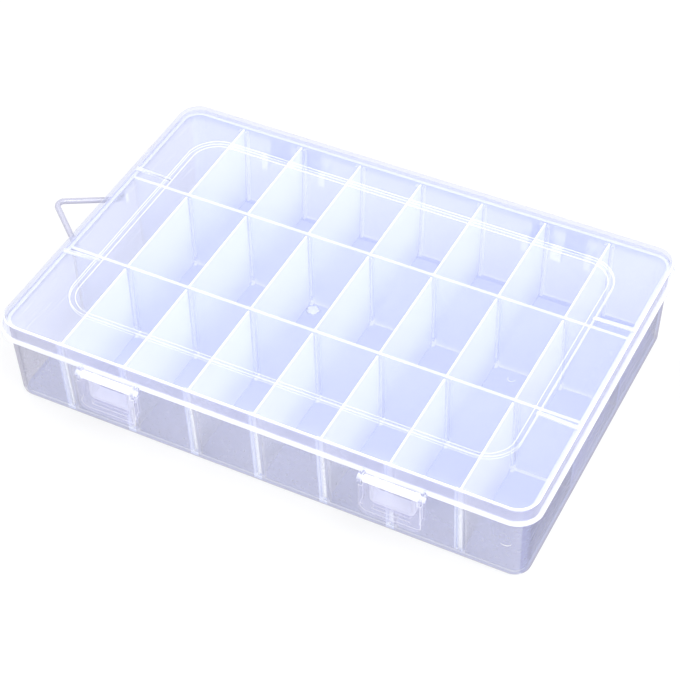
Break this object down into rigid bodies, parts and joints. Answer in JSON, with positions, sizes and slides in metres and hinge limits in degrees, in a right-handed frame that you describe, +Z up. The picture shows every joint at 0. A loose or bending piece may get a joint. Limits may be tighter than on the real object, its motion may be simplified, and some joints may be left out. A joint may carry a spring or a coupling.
{
  "type": "embroidery thread box",
  "caption": "Shallow clear plastic storage box with small compartments in rows, loose dividers, a hinged lid with two snap latches, and a folding hanger at one end",
  "frame": {"origin": "Middle of the tray's flat underside, on the surface that the box stands on", "axes": "+X along the length towards the end without the hanger, +Y to the back where the hinges are, +Z up"},
  "size_m": [0.2105, 0.1394, 0.036],
  "materials": {
    "clear_plastic": "clear with a faint cool tint, polished",
    "moulded_plastic": "translucent, smooth moulded",
    "frosted_plastic": "frosted, translucent white"
  },
  "bodies": {
    "base": {"base_tray": "clear_plastic", "divider_front_1": "frosted_plastic", "divider_front_2": "frosted_plastic", "divider_front_3": "frosted_plastic", "divider_front_4": "frosted_plastic", "divider_front_5": "frosted_plastic", "divider_front_6": "frosted_plastic", "divider_front_7": "frosted_plastic", "divider_middle_1": "frosted_plastic", "divider_middle_2": "frosted_plastic", "divider_middle_3": "frosted_plastic", "divider_middle_4": "frosted_plastic", "divider_middle_5": "frosted_plastic", "divider_middle_6": "frosted_plastic", "divider_middle_7": "frosted_plastic", "divider_back_1": "frosted_plastic", "divider_back_2": "frosted_plastic", "divider_back_3": "frosted_plastic", "divider_back_4": "frosted_plastic", "divider_back_5": "frosted_plastic", "divider_back_6": "frosted_plastic", "divider_back_7": "frosted_plastic"},
    "lid": {"lid": "clear_plastic"},
    "latch_left": {"latch_left": "moulded_plastic"},
    "latch_right": {"latch_right": "moulded_plastic"},
    "hanger": {"hanger": "moulded_plastic"}
  },
  "joints": [
    {"name": "lid_hinge", "type": "hinge", "parent": "base", "child": "lid", "pos_m": [0, 0.067, 0.0215], "axis": [-1, 0, 0], "range_deg": [0, 180]},
    {"name": "latch_left_hinge", "type": "hinge", "parent": "lid", "child": "latch_left", "pos_m": [-0.051, -0.0679, 0.0293], "axis": [-1, 0, 0], "range_deg": [0, 110]},
    {"name": "latch_right_hinge", "type": "hinge", "parent": "lid", "child": "latch_right", "pos_m": [0.051, -0.0679, 0.0293], "axis": [-1, 0, 0], "range_deg": [0, 110]},
    {"name": "hanger_hinge", "type": "hinge", "parent": "base", "child": "hanger", "pos_m": [-0.09674, 0, 0.0268], "axis": [0, -1, 0], "range_deg": [-30, 100]}
  ]
}
